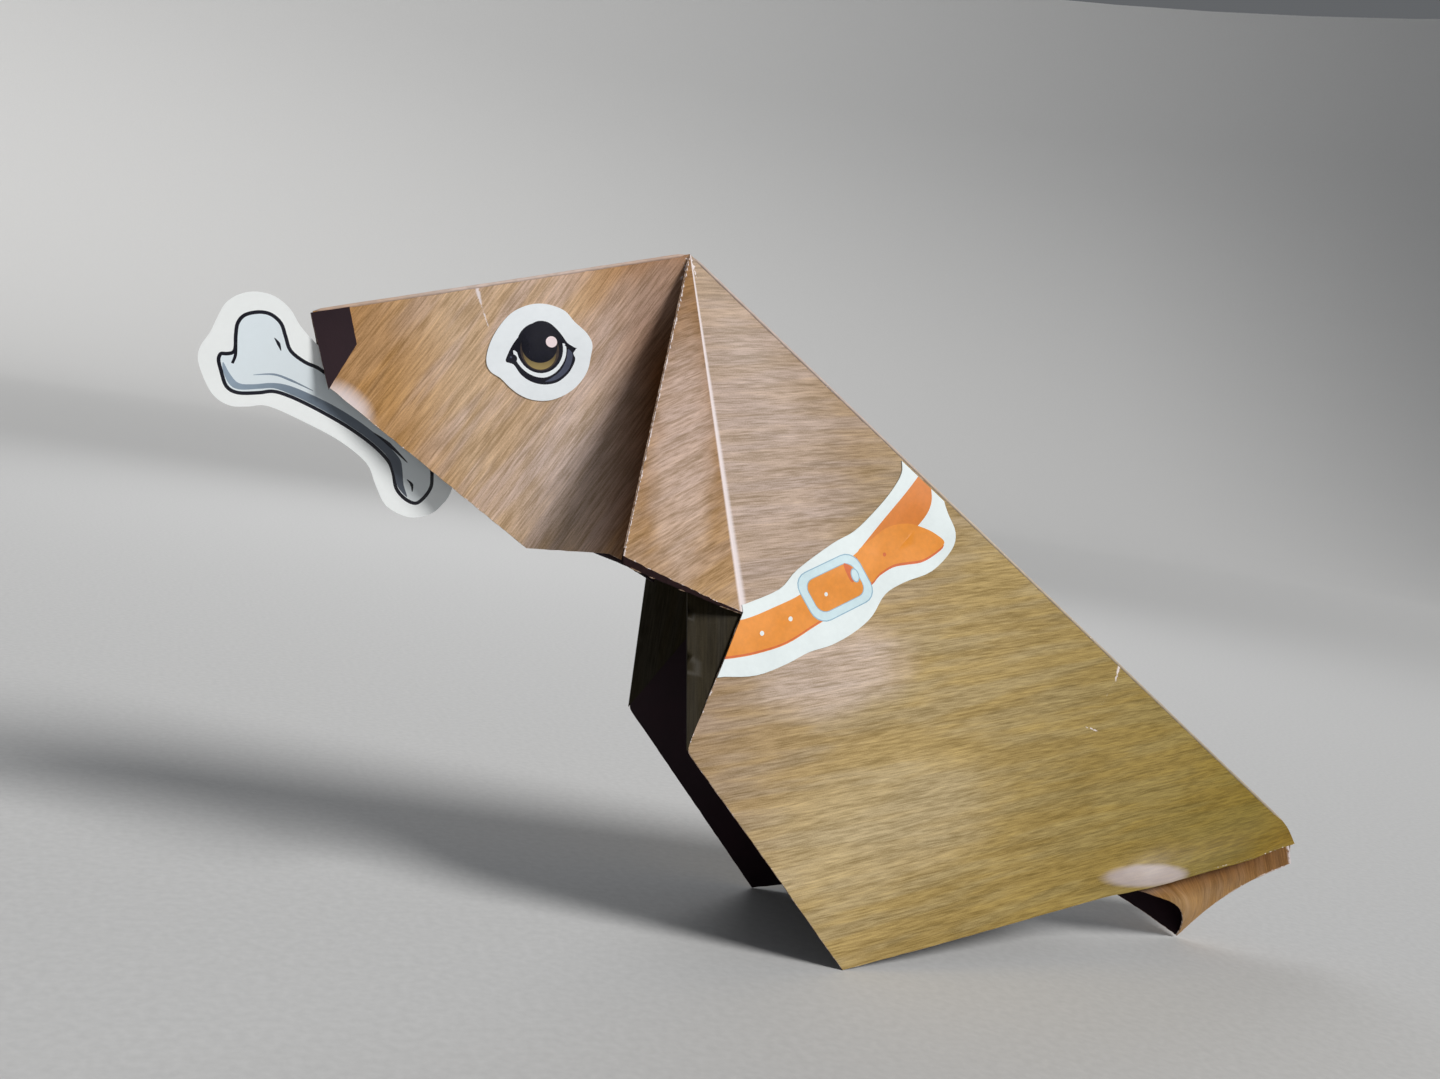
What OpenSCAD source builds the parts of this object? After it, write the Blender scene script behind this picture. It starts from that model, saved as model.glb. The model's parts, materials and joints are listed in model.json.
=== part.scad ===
// Sitting dog folded from one sheet of printed paper, with stuck-on eyes, collar and a loose bone.
// The dog looks along -X and its own left side is -Y. It stands on the two front paper corners
// and the tail tip, all at Z = 0. Every panel is a flat plate that ends just short of its creases.
// A place on a flank or cheek is given as [distance along its crease, distance below the crease].

/* [Sheet] */
// Thickness of the folding paper
paper_t = 0.2; // [0.15:0.01:0.25]
// Thickness of a stuck-on label
label_t = 0.12; // [0.08:0.01:0.16]
// Radius of a rounded, folded crease
crease_r = 0.35; // [0.3:0.01:0.4]
// Gap left between a panel's edge and its crease line
crease_gap = 0.9; // [0.8:0.05:1.1]

/* [Body] */
// Length from the neck point to the tail point, along the back crease
back_length = 130; // [124:1:136]
// Slope of the back crease below level
back_slope = 31; // [30:0.1:32]
// Angle of each flank away from the middle plane
flank_open = 14.6; // [13:0.1:17]
// Front foot corner: distance along the back, and distance below it
foot_along = 67.5; // [66:0.1:69]
foot_drop = 58.4; // [57:0.1:60]
// Chest corner, measured the same way
chest_along = 34.5; // [33.5:0.1:35.5]
chest_drop = 48.7; // [47.5:0.1:49.5]
// Neck notch, measured the same way
notch_along = 31; // [30.5:0.1:31.5]
notch_drop = 31.1; // [30.5:0.1:31.5]

/* [Head] */
// Length of the head crease, from the neck point to the blunt nose
head_length = 45; // [44:0.5:46]
// Slope of the head crease below level
head_slope = 19.4; // [19:0.1:20]
// Angle of each cheek away from the middle plane
head_open = 9; // [8.5:0.1:9.5]
// Height of the blunt nose
nose_h = 8.7; // [8:0.1:9]
// Jaw corner: distance along the head crease, and distance below it
jaw_along = 27.2; // [26:0.1:28]
jaw_drop = 30.7; // [30:0.1:31]
// Width of the turned-over nose tip along the crease
nose_tip_w = 4.3; // [3.5:0.1:5]

/* [Ears] */
// Distance of the ear corner in front of the neck point
ear_forward = 9; // [8:0.5:10]
// Distance of the ear corner out from the middle plane
ear_outward = 20.7; // [19.5:0.1:21.5]
// Distance of the ear corner below the neck point
ear_down = 35.8; // [35:0.1:36.5]

/* [Tail] */
// Length of the tail crease
tail_length = 24; // [23:0.5:25]
// Distance of the tail point below the line of the back crease
tail_sink = 1.6; // [1.2:0.1:2]
// Length of the back crease that the rounded tail end takes away
tail_round = 3.5; // [3:0.1:4.5]
// Where the tail flap leaves the flank: distance along the back, and distance below it
tail_root_along = 102; // [101:0.1:103]
tail_root_drop = 26.8; // [26.4:0.1:27.4]

/* [Bone] */
// Thickness of the bone card
bone_t = 0.3; // [0.2:0.05:0.35]
// Length between the centres of the two bone ends
bone_length = 23.3; // [22:0.1:24]

/* [Collar] */
// Width of the collar label
collar_w = 8.2; // [7:0.1:9]

/* [Hidden] */
$fn = 96;

left = [0, -1, 0];
skin_gap = 0.01;                      // air between a label and the paper under it
rod_back = 1.5;                       // how far a crease strip stops short of the neck point
flap_edge_gap = 0.8;                  // gap between the tail flap and the tail crease
pleat_edge_gap = 0.4;                 // gap between the ear pleat and the cheek
neck_flap_lift = 2.5 * paper_t;       // the neck flap lies this far inside the flank

function unit(v) = v / norm(v);

// Directions in the middle plane: along the back and away from it, along the head and below it.
back_dir = [cos(back_slope), 0, -sin(back_slope)];
belly_dir = [-sin(back_slope), 0, -cos(back_slope)];
head_dir = [-cos(head_slope), 0, -sin(head_slope)];
jaw_dir = [sin(head_slope), 0, -cos(head_slope)];
flank_down = cos(flank_open) * belly_dir + sin(flank_open) * left;
cheek_down = cos(head_open) * jaw_dir + sin(head_open) * left;

// Corners of the flank and the cheek in their own planes, in order round each panel.
notch_at = [notch_along, notch_drop];
chest_at = [chest_along, chest_drop];
foot_at = [foot_along, foot_drop];
tail_root_at = [tail_root_along, tail_root_drop];
tail_low_at = [back_length - 0.5, 2 * tail_sink];
tail_high_at = [back_length - tail_round, 0];
nose_top_at = [head_length, 0];
nose_low_at = [head_length, nose_h];
jaw_at = [jaw_along, jaw_drop];
jaw_step_at = [17.8, 33.4];
pleat_root_at = [13, 37.2];

// The bone card, in the middle plane of the head: each end is a pair of round knobs.
bone_dir = unit([-0.686, 0.728]);
bone_side = [bone_dir[1], -bone_dir[0]];
bone_front = [53, 3];
bone_rear = bone_front + bone_length * bone_dir;
// Each knob: centre, distance from the bone's line, radius.
bone_knobs = [[bone_front, 2.6, 3.6], [bone_front, -2.9, 3.9],
              [bone_rear, 2.4, 3.1], [bone_rear, -2.4, 3.1]];
shank_front = 2.8;                    // half width of the bone between its ends
shank_rear = 2.5;

// The collar label is part of a ring; the buckle and the strap's end bulge out of it.
ring_centre = [3, 6.3];
ring_r = 40.8;                        // to the middle of the collar
buckle_at = [41.2, 21.3];
buckle_r = 5.9;
strap_end_at = [47.3, 5.2];
strap_end_r = 4.2;

// The eye label: round, with a bump at each corner of the eye. Centre and radius of each part.
eye_rounds = [[[21, 8.8], 5.7], [[17, 9.6], 2.2], [[23.4, 11.6], 3]];

// The neck flap runs down the front edge from this share of its length to the chest corner.
neck_flap_start = 0.36;
neck_flap_top = [31.5, 14];

// The neck point is above the floor by as much as the front foot is below it.
foot_rel = foot_along * back_dir + foot_drop * flank_down;
neck_z = -foot_rel.z + paper_t / 2 * sin(flank_open);
// The whole dog is centred between the bone's end and the tail end.
bone_reach = 57.2;
mid_x = ((back_length - 0.3) * back_dir.x + bone_reach * head_dir.x) / 2;
neck = [-mid_x, 0, neck_z];

function on_flank(at) = neck + at[0] * back_dir + at[1] * flank_down;
function on_cheek(at) = neck + at[0] * head_dir + at[1] * cheek_down;

// Corners shared by panels, all on the left side or in the middle plane.
notch = on_flank(notch_at);
tail_root = on_flank(tail_root_at);
pleat_root = on_cheek(pleat_root_at);
ear_tip = neck + [-ear_forward, -ear_outward, -ear_down];
tail = neck + back_length * back_dir + tail_sink * belly_dir;
// The tail crease runs from the tail point down to the floor.
tail_drop = tail.z - crease_r;
tail_dir = [-sqrt(1 - pow(tail_drop / tail_length, 2)), 0, -tail_drop / tail_length];
tail_tip = tail + tail_length * tail_dir;

// Moves each edge of a polygon inwards by its own distance; the points run clockwise.
function cross2(a, b) = a.x * b.y - a.y * b.x;
function inward(a, b) = let (d = unit(b - a)) [d.y, -d.x];
function meet(p, d, q, e) = p + d * cross2(q - p, e) / cross2(d, e);
function inset(pts, by) = let (n = len(pts)) [
    for (i = [0 : n - 1])
        let (h = (i + n - 1) % n, j = (i + 1) % n)
        meet(pts[h] + by[h] * inward(pts[h], pts[i]), pts[i] - pts[h],
             pts[i] + by[i] * inward(pts[i], pts[j]), pts[j] - pts[i])];

// A flat plate drawn in a frame given by its corner, its first axis and a point on its far side.
module plate(corner, x_dir, y_hint, thick, lift = 0) {
    x = unit(x_dir);
    n = unit(cross(x, y_hint));
    y = cross(n, x);
    multmatrix([[x.x, y.x, n.x, corner.x], [x.y, y.y, n.y, corner.y],
                [x.z, y.z, n.z, corner.z], [0, 0, 0, 1]])
        translate([0, 0, lift - thick / 2]) linear_extrude(thick) children();
}

module flank_plate(thick, lift = 0) plate(neck, back_dir, flank_down, thick, lift) children();
module cheek_plate(thick, lift = 0) plate(neck, head_dir, cheek_down, thick, lift) children();
module middle_plate(thick) plate(neck, head_dir, jaw_dir, thick) children();

// A triangular panel between three corners, with its own gap along each edge.
module triangle_panel(a, b, c, gaps) {
    x = unit(b - a);
    y = unit(c - a - ((c - a) * x) * x);
    pts = [[0, 0], [(c - a) * x, (c - a) * y], [(b - a) * x, 0]];
    plate(a, x, y, paper_t) polygon(inset(pts, gaps));
}

module crease_strip(from, dir, start, end) {
    tilt = atan2(dir.x, dir.z);
    translate(from + start * dir) rotate([0, tilt, 0]) cylinder(r = crease_r, h = end - start, $fn = 24);
}

// The flank's outline, with its own gap along the ear crease.
module flank_outline(ear_gap) {
    polygon(inset([[0, 0], notch_at, chest_at, foot_at, tail_root_at, tail_low_at, tail_high_at],
                  [ear_gap, 0, 0, 0, 0, 0, crease_gap]));
}

module cheek_outline() {
    polygon(inset([[0, 0], pleat_root_at, jaw_step_at, jaw_at, nose_low_at, nose_top_at],
                  [crease_gap, 0, 0, 0, 0, 1.5 * crease_gap]));
}

module flank() color("peru") flank_plate(paper_t) flank_outline(crease_gap / 2);

// Inner double layer of the neck, seen in front of the notch.
module neck_flap() color("saddlebrown")
    flank_plate(paper_t, neck_flap_lift)
        polygon([neck_flap_start * chest_at, chest_at, neck_flap_top]);

// Curved collar label, cut off at the notch edge and at the back crease.
module collar(buckled) color("darkorange")
    flank_plate(label_t, -(paper_t + label_t) / 2 - skin_gap)
        intersection() {
            flank_outline(crease_gap);
            union() {
                difference() {
                    translate(ring_centre) circle(r = ring_r + collar_w / 2);
                    translate(ring_centre) circle(r = ring_r - collar_w / 2);
                }
                if (buckled) translate(buckle_at) circle(r = buckle_r);
                if (buckled) translate(strap_end_at) circle(r = strap_end_r);
            }
        }

module ear() color("peru") triangle_panel(neck, notch, ear_tip, [crease_gap, 0, crease_gap / 2]);

module ear_pleat() color("saddlebrown")
    triangle_panel(neck, pleat_root, ear_tip, [1.5 * crease_gap, pleat_edge_gap, crease_gap]);

module cheek() color("peru") cheek_plate(paper_t) cheek_outline();

module nose_tip() color([0.25, 0.13, 0.15])
    cheek_plate(paper_t, paper_t + skin_gap)
        polygon([[head_length, crease_gap], [head_length - nose_tip_w, crease_gap],
                 [head_length - nose_tip_w + 0.3, nose_tip_w - 0.3], nose_low_at]);

module eye() color("whitesmoke")
    cheek_plate(label_t, (paper_t + label_t) / 2 + skin_gap)
        for (part = eye_rounds) translate(part[0]) circle(r = part[1]);

module bone() color("whitesmoke") middle_plate(bone_t) {
    for (knob = bone_knobs) translate(knob[0] + knob[1] * bone_side) circle(r = knob[2]);
    polygon([bone_front + shank_front * bone_side, bone_rear + shank_rear * bone_side,
             bone_rear - shank_rear * bone_side, bone_front - shank_front * bone_side]);
}

module tail_flap() color("peru")
    triangle_panel(tail, tail_tip, tail_root, [flap_edge_gap, 0, crease_gap]);

module mirrored() mirror([0, 1, 0]) children();

color("tan")  // back_crease
    crease_strip(neck, back_dir, rod_back, back_length - tail_round);
flank();  // left_flank
mirrored() flank();  // right_flank
neck_flap();  // left_neck_flap
mirrored() neck_flap();  // right_neck_flap
collar(true);  // left_collar
mirrored() collar(false);  // right_collar
ear();  // left_ear
mirrored() ear();  // right_ear
ear_pleat();  // left_ear_pleat
mirrored() ear_pleat();  // right_ear_pleat
color("tan") crease_strip(neck, head_dir, rod_back, head_length);  // head_crease
cheek();  // left_cheek
mirrored() cheek();  // right_cheek
nose_tip();  // left_nose_tip
mirrored() nose_tip();  // right_nose_tip
eye();  // left_eye
mirrored() eye();  // right_eye
bone();
color("tan") crease_strip(tail, tail_dir, rod_back, tail_length);  // tail_crease
tail_flap();  // left_tail_flap
mirrored() tail_flap();  // right_tail_flap
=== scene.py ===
"""A sitting dog folded from one sheet of printed paper, with stuck-on eye and collar labels and a
bone card in its mouth. Every fold of the sheet is its own piece and rides on its own CAD body.

Places on a panel are in millimetres, as (distance along its crease, distance below the crease).
The left side is built first, and the right side is its mirror image across the middle plane.
"""

import json
import math
import random

import bpy
import numpy as np
from mathutils import Matrix, Vector
from mathutils.geometry import delaunay_2d_cdt


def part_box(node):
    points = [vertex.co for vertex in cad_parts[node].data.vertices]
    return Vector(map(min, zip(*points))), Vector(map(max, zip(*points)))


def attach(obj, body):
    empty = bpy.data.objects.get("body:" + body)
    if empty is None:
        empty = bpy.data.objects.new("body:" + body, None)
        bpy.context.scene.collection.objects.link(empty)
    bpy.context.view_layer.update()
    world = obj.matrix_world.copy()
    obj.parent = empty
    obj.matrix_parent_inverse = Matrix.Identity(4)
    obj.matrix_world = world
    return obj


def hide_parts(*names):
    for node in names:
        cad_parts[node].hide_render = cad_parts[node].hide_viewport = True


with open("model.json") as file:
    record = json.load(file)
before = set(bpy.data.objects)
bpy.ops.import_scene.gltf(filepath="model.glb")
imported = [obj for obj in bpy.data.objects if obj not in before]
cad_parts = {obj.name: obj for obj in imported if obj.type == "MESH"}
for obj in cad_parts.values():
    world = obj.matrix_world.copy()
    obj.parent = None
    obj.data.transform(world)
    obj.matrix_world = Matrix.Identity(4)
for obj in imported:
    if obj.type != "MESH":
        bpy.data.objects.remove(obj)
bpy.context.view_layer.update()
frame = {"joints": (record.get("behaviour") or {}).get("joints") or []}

MM = 0.001
PAPER = 0.2          # thickness of the sheet
LABEL = 0.12         # thickness of a label
CARD = 0.3           # thickness of the bone
AIR = 0.012          # between a label and the paper under it
FOLD_RADIUS = 0.24   # of the rounded creases
SIDES = ("left", "right")

# ---- the folded shape

joints = {joint["name"]: joint for joint in frame["joints"]}


def joint_point(name):
    return Vector(joints[name]["pos_m"])


def joint_axis(name):
    return Vector(joints[name]["axis"]).normalized()


NECK = joint_point("body_open")
TAIL = joint_point("tail_tilt")
BACK_DIR = -joint_axis("body_open")
HEAD_DIR = joint_axis("left_cheek_open")
TAIL_DIR = joint_axis("left_tail_open")
EAR_FOLD = joint_axis("left_ear_fold")
PLEAT_FOLD = joint_axis("left_pleat_fold")

# Corners of the flank, the cheek and the ear
NOTCH = (31.0, 31.1)
CHEST = (34.5, 48.7)
FOOT = (67.5, 58.4)
TAIL_ROOT = (102.0, 26.8)
TAIL_LOW = (129.7, 1.4)
TAIL_HIGH = (127.0, 0.0)
NOSE_TOP = (45.0, 0.0)
NOSE_LOW = (45.0, 8.7)
JAW = (27.2, 30.7)
JAW_STEP = (17.8, 33.4)
PLEAT_ROOT = (13.0, 37.2)
EAR_EDGE = math.hypot(9.0, 20.7, 35.8)
TAIL_EDGE = 24.0


class Plane:
    """The plane of a panel: its corner, the direction of its crease, and the way down from it."""

    def __init__(self, corner, along, towards, facing):
        self.corner = corner
        self.along = along.normalized()
        self.down = (towards - towards.project(self.along)).normalized()
        self.out = self.along.cross(self.down)
        if self.out.dot(facing) < 0:
            self.out.negate()

    def at(self, place, lift=0.0):
        flat = self.along * place[0] + self.down * place[1] + self.out * lift
        return self.corner + flat * MM

    def flat(self, point):
        """The place on the panel of a point in space."""
        away = (point - self.corner) / MM
        return (away.dot(self.along), away.dot(self.down))


OUTWARDS = Vector((0, -1, 0))
cheek_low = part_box("left_cheek")[0].y / -MM
cheek_open = math.asin(cheek_low / PLEAT_ROOT[1])
jaw_dir = Vector((-HEAD_DIR.z, 0, HEAD_DIR.x))
cheek_down = jaw_dir * math.cos(cheek_open) + OUTWARDS * math.sin(cheek_open)

flank = Plane(NECK, BACK_DIR, EAR_FOLD, OUTWARDS)
cheek = Plane(NECK, HEAD_DIR, cheek_down, OUTWARDS)
head_middle = Plane(NECK, HEAD_DIR, jaw_dir, OUTWARDS)
ear_tip = NECK + PLEAT_FOLD * EAR_EDGE * MM
tail_tip = TAIL + TAIL_DIR * TAIL_EDGE * MM
ear = Plane(NECK, EAR_FOLD, PLEAT_FOLD, OUTWARDS)
pleat = Plane(NECK, PLEAT_FOLD, cheek.at(PLEAT_ROOT) - NECK, HEAD_DIR)
tail_flap = Plane(TAIL, TAIL_DIR, flank.at(TAIL_ROOT) - TAIL, OUTWARDS)

# ---- small geometry helpers


def unit2(a, b):
    """Direction from a to b in the plane of a panel."""
    length = math.dist(a, b)
    return ((b[0] - a[0]) / length, (b[1] - a[1]) / length)


def line_gap(point, a, b):
    """Distance of a point from the line through a and b."""
    d = unit2(a, b)
    return abs((point[0] - a[0]) * d[1] - (point[1] - a[1]) * d[0])


def smooth(edge, x):
    t = min(max(x / edge, 0.0), 1.0)
    return t * t * (3 - 2 * t)


def inside(points, polygon):
    """For each point, whether it is inside the polygon."""
    points = np.asarray(points, float)
    x, y = points[:, 0], points[:, 1]
    result = np.zeros(len(points), bool)
    for (x0, y0), (x1, y1) in zip(polygon, polygon[1:] + polygon[:1]):
        if y0 == y1:
            continue
        crosses = (y0 > y) != (y1 > y)
        result ^= crosses & (x < x0 + (y - y0) * (x1 - x0) / (y1 - y0))
    return result


def curve(points, steps):
    """The smooth line from the second point to the last but one, without its end."""
    line = []
    for four in zip(points, points[1:], points[2:], points[3:]):
        line += [spline_point(*four, k / steps) for k in range(steps)]
    return line


def closed_curve(points):
    """A smooth closed loop through the points."""
    return curve([points[-1], *points, *points[:2]], 4)


def open_curve(points, steps=4):
    """A smooth open line through the points."""
    return curve([points[0], *points, points[-1]], steps) + [points[-1]]


def spline_point(p0, p1, p2, p3, t):
    """A point on the Catmull-Rom curve between p1 and p2."""
    return tuple(
        0.5 * (2 * b + (c - a) * t + (2 * a - 5 * b + 4 * c - d) * t ** 2
               + (3 * b - a - 3 * c + d) * t ** 3)
        for a, b, c, d in zip(p0, p1, p2, p3))


def disc(centre, rx, ry=None, turn=0.0, count=36):
    """A round or oval outline."""
    ry = ry or rx
    cos, sin = math.cos(turn), math.sin(turn)
    loop = []
    for i in range(count):
        a = math.tau * i / count
        x, y = rx * math.cos(a), ry * math.sin(a)
        loop.append((centre[0] + x * cos - y * sin, centre[1] + x * sin + y * cos))
    return loop


def stroke(points, widths):
    """A pen stroke along a smooth line; widths are given at its points."""
    line = open_curve(points, 5)
    widths = np.interp(np.linspace(0, 1, len(line)), np.linspace(0, 1, len(widths)), widths)
    left, right = [], []
    for i, p in enumerate(line):
        a, b = line[max(i - 1, 0)], line[min(i + 1, len(line) - 1)]
        d = unit2(a, b)
        half = max(widths[i], 0.02) / 2
        left.append((p[0] - d[1] * half, p[1] + d[0] * half))
        right.append((p[0] + d[1] * half, p[1] - d[0] * half))
    return left + right[::-1]


def resample(loop, spacing, ragged, seed):
    """Points along a polygon. ragged gives, for each edge, how far its raw cut wanders."""
    rng = random.Random(seed)
    points = []
    for i, a in enumerate(loop):
        b = loop[(i + 1) % len(loop)]
        wander = ragged[i]
        d = unit2(a, b)
        count = max(1, round(math.dist(a, b) / spacing))
        for k in range(count):
            t = k / count
            off = rng.uniform(-wander, wander) if k else 0
            points.append((a[0] + (b[0] - a[0]) * t - d[1] * off,
                           a[1] + (b[1] - a[1]) * t + d[0] * off))
    return points


def round_corner(loop, index, radius, count=4):
    """The polygon with one corner rounded off."""
    before, corner, after = loop[index - 1], loop[index], loop[(index + 1) % len(loop)]
    into, out = unit2(corner, before), unit2(corner, after)
    start = [corner[k] + into[k] * radius for k in (0, 1)]
    end = [corner[k] + out[k] * radius for k in (0, 1)]
    arc = []
    for i in range(count + 1):
        t = i / count
        arc.append(tuple((1 - t) ** 2 * start[k] + 2 * t * (1 - t) * corner[k] + t * t * end[k]
                         for k in (0, 1)))
    return loop[:index] + arc + loop[index + 1:]


def fill(outline, spacing, seed, layers=(), clip=None):
    """Triangles that fill an outline. Returns the points, the triangles, and for each triangle the
    number of the last layer that covers it, or 0 for the outline itself."""
    rng = random.Random(seed)
    xs, ys = zip(*outline)
    grid = []
    row = 0
    y = min(ys)
    while y < max(ys):
        x = min(xs) + (row % 2) * spacing / 2
        while x < max(xs):
            grid.append((x + rng.uniform(-0.12, 0.12) * spacing,
                         y + rng.uniform(-0.12, 0.12) * spacing))
            x += spacing
        y += spacing * 0.87
        row += 1
    loops = [outline, *layers] + ([clip] if clip else [])
    kept = [p for p, ok in zip(grid, inside(grid, outline)) if ok]
    rim = np.array([p for loop in loops for p in loop])
    kept = [p for p in kept if np.hypot(*(rim - p).T).min() > spacing * 0.45]
    points, edges = [], []
    for loop in loops:
        base = len(points)
        points += loop
        edges += [(base + i, base + (i + 1) % len(loop)) for i in range(len(loop))]
    points += kept
    verts, _, faces, *_ = delaunay_2d_cdt([Vector(p) for p in points], edges, [], 0, 1e-5)
    flat = np.array([tuple(v) for v in verts])
    tris = np.array([f for f in faces if len(f) == 3])
    a, b, c = (flat[tris[:, k]] for k in range(3))
    area = (b[:, 0] - a[:, 0]) * (c[:, 1] - a[:, 1]) - (b[:, 1] - a[:, 1]) * (c[:, 0] - a[:, 0])
    centres = (a + b + c) / 3
    keep = inside(centres, outline) & (np.abs(area) > 1e-7)
    if clip:
        keep &= inside(centres, clip)
    top = np.zeros(len(tris), int)
    for number, loop in enumerate(layers, 1):
        top[inside(centres, loop)] = number
    tris = np.where((area > 0)[:, None], tris, tris[:, ::-1])[keep]
    used = np.unique(tris)
    remap = np.full(len(flat), -1)
    remap[used] = np.arange(len(used))
    return flat[used], remap[tris], top[keep]


def new_object(name, data):
    obj = bpy.data.objects.new(name, data)
    bpy.context.scene.collection.objects.link(obj)
    return obj


def add_object(name, verts, faces, materials, face_materials, plan, side, sharp=()):
    """A mesh piece in the row frame, mirrored for the right side."""
    if side == "right":
        verts = [Vector((v.x, -v.y, v.z)) for v in verts]
        faces = [tuple(reversed(f)) for f in faces]
    mesh = bpy.data.meshes.new(name)
    mesh.from_pydata([tuple(v) for v in verts], [], faces)
    for material in materials:
        mesh.materials.append(material)
    mesh.polygons.foreach_set("material_index", np.array(face_materials, np.int32))
    mesh.polygons.foreach_set("use_smooth", np.ones(len(faces), bool))
    attribute = mesh.attributes.new("plan", "FLOAT_VECTOR", "POINT")
    attribute.data.foreach_set("vector", np.array(plan, np.float32).ravel())
    if sharp:
        keys = {frozenset(e) for e in sharp}
        flags = np.array([frozenset(e.vertices) in keys for e in mesh.edges], bool)
        mesh.attributes.new("sharp_edge", "BOOLEAN", "EDGE").data.foreach_set("value", flags)
    mesh.update()
    return new_object(name, mesh)


def shell(name, side, place, sheet, thickness, front, back, rim, base=0.0, both_sides=False):
    """A thin sheet with two faces and a cut rim. place turns (along, drop), lift into a point."""
    flat, tris, layer = sheet
    count = len(flat)
    half = thickness / 2
    verts = [place(p, base + half) for p in flat] + [place(p, base - half) for p in flat]
    a, b, c = (verts[i] for i in tris[0])
    up = a - verts[tris[0][0] + count]
    if (b - a).cross(c - a).dot(up) < 0:
        tris = tris[:, ::-1]
    materials = [*front, back, rim]
    back_slot, rim_slot = len(front), len(front) + 1
    faces = [tuple(t) for t in tris.tolist()]
    slots = layer.tolist()
    edges = {}
    for t, ink in zip(faces, slots):
        for i in range(3):
            edges[(t[i], t[(i + 1) % 3])] = ink
    rim_edges = [e for e in edges if (e[1], e[0]) not in edges]
    top_faces = list(faces)
    faces = top_faces + [(t[2] + count, t[1] + count, t[0] + count) for t in top_faces]
    slots = slots + (slots if both_sides else [back_slot] * len(top_faces))
    for i, j in rim_edges:
        faces.append((j, i, i + count, j + count))
        slots.append(edges[(i, j)] or rim_slot)
    sharp = rim_edges + [(i + count, j + count) for i, j in rim_edges]
    plan = [(p[0], p[1], 0.0) for p in flat] * 2
    return add_object(name, verts, faces, materials, slots, plan, side, sharp)


def fold_roll(name, start, end, material, seed, sag=None, taper=1.2):
    """The rounded fold along a crease: a fine rod of slightly uneven paper, closed at both ends."""
    rng = random.Random(seed)
    axis = end - start
    length = axis.length / MM
    axis.normalize()
    side = Vector((0, 1, 0))
    up = side.cross(axis).normalized()
    rings = max(8, round(length / 0.9))
    around = 14
    verts, faces, plan = [], [], []
    for i in range(rings + 1):
        s = length * i / rings
        ends = min(1.0, (min(s, length - s) / taper + 0.02) ** 0.5)
        size = FOLD_RADIUS * ends * rng.uniform(0.9, 1.06)
        centre = start + axis * s * MM + (sag(s / length) * MM if sag else Vector())
        wobble = rng.uniform(-0.03, 0.03)
        for k in range(around):
            a = math.tau * k / around
            offset = side * (math.cos(a) * size + wobble) + up * math.sin(a) * size
            verts.append(centre + offset * MM)
            plan.append((s, a * FOLD_RADIUS, 0.0))
    for i in range(rings):
        for k in range(around):
            n = (k + 1) % around
            faces.append((i * around + k, i * around + n,
                          (i + 1) * around + n, (i + 1) * around + k))
    faces.append(tuple(reversed(range(around))))
    faces.append(tuple(range(rings * around, (rings + 1) * around)))
    first = verts[0], verts[1], verts[around]
    if (first[1] - first[0]).cross(first[2] - first[0]).dot(first[0] - start) < 0:
        faces = [tuple(reversed(f)) for f in faces]
    return add_object(name, verts, faces, [material], [0] * len(faces), plan, "left")


def finish_piece(obj, node, body):
    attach(obj, body)
    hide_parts(node)


# ---- materials


def colour(red, green, blue):
    """A screen colour, 0 to 255, as the linear colour that the shader wants."""
    linear = []
    for c in (red, green, blue):
        c /= 255
        linear.append(c / 12.92 if c <= 0.04045 else ((c + 0.055) / 1.055) ** 2.4)
    return (*linear, 1.0)


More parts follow.
